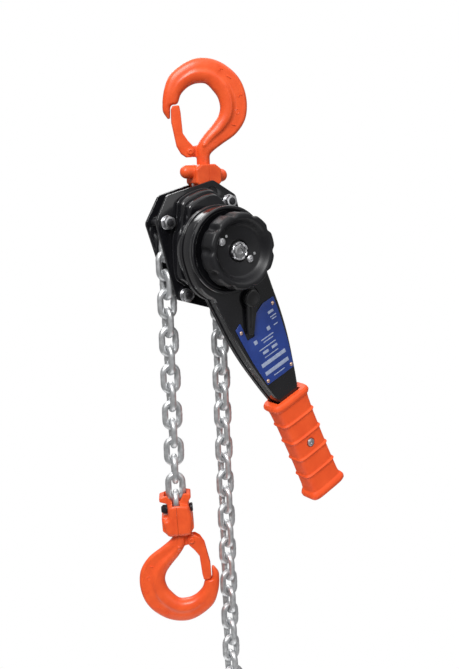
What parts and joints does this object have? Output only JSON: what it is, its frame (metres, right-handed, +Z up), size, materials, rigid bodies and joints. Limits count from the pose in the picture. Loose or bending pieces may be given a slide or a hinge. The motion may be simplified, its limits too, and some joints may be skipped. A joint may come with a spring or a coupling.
{
  "type": "lever chain hoist",
  "caption": "Hand lever hoist: a ratchet lever and gear train drive a pocket wheel that lifts a hook on a load chain, hung from a swivel hook above.",
  "frame": {"origin": "inner apex of the top hook's bowl, on the top hook's swivel axis", "axes": "+Z up along the hanging direction; the lever and hand wheel face -Y, the gear case +Y; +X is to the lever arm's side"},
  "size_m": [0.2282, 0.14, 0.7492],
  "materials": {
    "orange_enamel": "glossy orange enamel",
    "zinc_steel": "bright zinc plating",
    "black_enamel": "glossy black enamel",
    "bare_steel": "machined steel, oiled",
    "friction_lining": "pressed friction lining",
    "orange_grip": "satin moulded rubber",
    "blue_plate": "dark blue lacquer on a thin plate",
    "black_moulding": "satin moulded plastic"
  },
  "bodies": {
    "top_hook": {"top_hook": "orange_enamel", "top_latch_pin": "zinc_steel"},
    "top_latch": {"top_latch": "orange_enamel"},
    "top_yoke": {"top_yoke_left": "orange_enamel", "top_yoke_right": "orange_enamel", "top_yoke_rivet": "zinc_steel"},
    "frame": {"front_side_plate": "black_enamel", "rear_side_plate": "black_enamel", "stay_bolt_1": "zinc_steel", "stay_bolt_2": "zinc_steel", "stay_bolt_3": "zinc_steel", "stay_bolt_4": "zinc_steel", "stay_nut_1": "zinc_steel", "stay_nut_2": "zinc_steel", "stay_nut_3": "zinc_steel", "stay_nut_4": "zinc_steel", "top_pin": "black_enamel", "brake_cover": "black_enamel", "gear_case": "black_enamel", "chain_guide_block": "zinc_steel", "chain_guide_roller": "zinc_steel", "ratchet_pawl_pin_1": "bare_steel", "ratchet_pawl_pin_2": "bare_steel", "chain_over_sheave": "zinc_steel"},
    "ratchet_pawl_1": {"ratchet_pawl_1": "bare_steel"},
    "ratchet_pawl_2": {"ratchet_pawl_2": "bare_steel"},
    "load_sheave": {"load_sheave": "bare_steel", "load_gear": "bare_steel"},
    "reduction_gear_1": {"reduction_gear_1": "bare_steel"},
    "reduction_gear_2": {"reduction_gear_2": "bare_steel"},
    "drive_shaft": {"pinion_shaft": "bare_steel", "friction_hub": "bare_steel", "friction_disc_1": "friction_lining", "friction_disc_2": "friction_lining", "ratchet_disc": "bare_steel", "change_gear": "bare_steel", "hand_wheel": "black_enamel", "castle_nut": "zinc_steel", "wheel_screw_1": "zinc_steel", "wheel_screw_2": "zinc_steel"},
    "lever": {"lever_front_shell": "black_enamel", "lever_rear_shell": "black_enamel", "lever_grip": "orange_grip", "grip_screw": "zinc_steel", "name_plate": "blue_plate", "detent_plunger": "bare_steel", "detent_spring": "bare_steel"},
    "selector": {"selector_lever": "black_moulding", "selector_pawl": "bare_steel"},
    "load_chain": {"load_chain": "zinc_steel"},
    "bottom_yoke": {"bottom_yoke_left": "orange_enamel", "bottom_yoke_right": "orange_enamel", "chain_pin": "bare_steel", "chain_pin_nut": "zinc_steel"},
    "bottom_hook": {"bottom_hook": "orange_enamel", "bottom_latch_pin": "zinc_steel"},
    "bottom_latch": {"bottom_latch": "orange_enamel"},
    "slack_chain": {"slack_chain": "zinc_steel", "chain_end_ring": "zinc_steel"}
  },
  "joints": [
    {"name": "top_latch_hinge", "type": "hinge", "parent": "top_hook", "child": "top_latch", "pos_m": [-0.01236, 0.00657, -0.0724], "axis": [0.4695, 0.8829, 0], "range_deg": [0, 40], "stiffness_Nm_per_rad": 0.05, "springref_deg": -34.38},
    {"name": "top_hook_swivel", "type": "hinge", "parent": "top_hook", "child": "top_yoke", "pos_m": [0, 0, -0.09], "axis": [0, 0, 1], "continuous": true},
    {"name": "frame_tilt", "type": "hinge", "parent": "top_yoke", "child": "frame", "pos_m": [0, 0, -0.1175], "axis": [0, -1, 0], "range_deg": [-20, 40]},
    {"name": "ratchet_pawl_1_hinge", "type": "hinge", "parent": "frame", "child": "ratchet_pawl_1", "pos_m": [-0.01, -0.0234, -0.1315], "axis": [0, 1, 0], "range_deg": [0, 8], "stiffness_Nm_per_rad": 0.03, "springref_deg": -17.19},
    {"name": "ratchet_pawl_2_hinge", "type": "hinge", "parent": "frame", "child": "ratchet_pawl_2", "pos_m": [-0.00666, -0.0234, -0.2186], "axis": [0, 1, 0], "range_deg": [0, 8], "stiffness_Nm_per_rad": 0.03, "springref_deg": -17.19},
    {"name": "load_sheave_spin", "type": "hinge", "parent": "frame", "child": "load_sheave", "pos_m": [-0.02, 0, -0.1755], "axis": [0, -1, 0], "continuous": true},
    {"name": "reduction_gear_1_spin", "type": "hinge", "parent": "frame", "child": "reduction_gear_1", "pos_m": [-0.02663, 0.032, -0.1483], "axis": [0, -1, 0], "continuous": true},
    {"name": "reduction_gear_2_spin", "type": "hinge", "parent": "frame", "child": "reduction_gear_2", "pos_m": [-0.01337, 0.032, -0.2027], "axis": [0, -1, 0], "continuous": true},
    {"name": "drive_shaft_spin", "type": "hinge", "parent": "frame", "child": "drive_shaft", "pos_m": [-0.02, -0.04, -0.1755], "axis": [0, -1, 0], "continuous": true},
    {"name": "lever_turn", "type": "hinge", "parent": "frame", "child": "lever", "pos_m": [-0.02, -0.06, -0.1755], "axis": [0, -1, 0], "continuous": true},
    {"name": "selector_turn", "type": "hinge", "parent": "lever", "child": "selector", "pos_m": [0.0061, -0.066, -0.22845], "axis": [0, -1, 0], "range_deg": [0, 56]},
    {"name": "load_chain_swing", "type": "hinge", "parent": "frame", "child": "load_chain", "pos_m": [-0.053, 0, -0.1854], "axis": [0, -1, 0], "range_deg": [-4, 0]},
    {"name": "chain_pin_hinge", "type": "hinge", "parent": "load_chain", "child": "bottom_yoke", "pos_m": [-0.0535, 0, -0.4712], "axis": [0.8652, -0.4995, 0.0436], "range_deg": [-8, 8]},
    {"name": "bottom_hook_swivel", "type": "hinge", "parent": "bottom_yoke", "child": "bottom_hook", "pos_m": [-0.05274, -0.00044, -0.49118], "axis": [-0.0378, 0.0218, 0.999], "continuous": true},
    {"name": "bottom_latch_hinge", "type": "hinge", "parent": "bottom_hook", "child": "bottom_latch", "pos_m": [-0.03994, -0.00783, -0.50885], "axis": [0.5, 0.866, 0], "range_deg": [0, 40], "stiffness_Nm_per_rad": 0.05, "springref_deg": -34.38},
    {"name": "slack_chain_swing", "type": "hinge", "parent": "frame", "child": "slack_chain", "pos_m": [0.0135, 0, -0.19665], "axis": [0, -1, 0], "range_deg": [-2, 10]}
  ],
  "couplings": [
    {"joint": "reduction_gear_1_spin", "follows": "load_sheave_spin", "ratio": -2.6364},
    {"joint": "reduction_gear_2_spin", "follows": "load_sheave_spin", "ratio": -2.6364},
    {"joint": "drive_shaft_spin", "follows": "load_sheave_spin", "ratio": 6.1515}
  ]
}
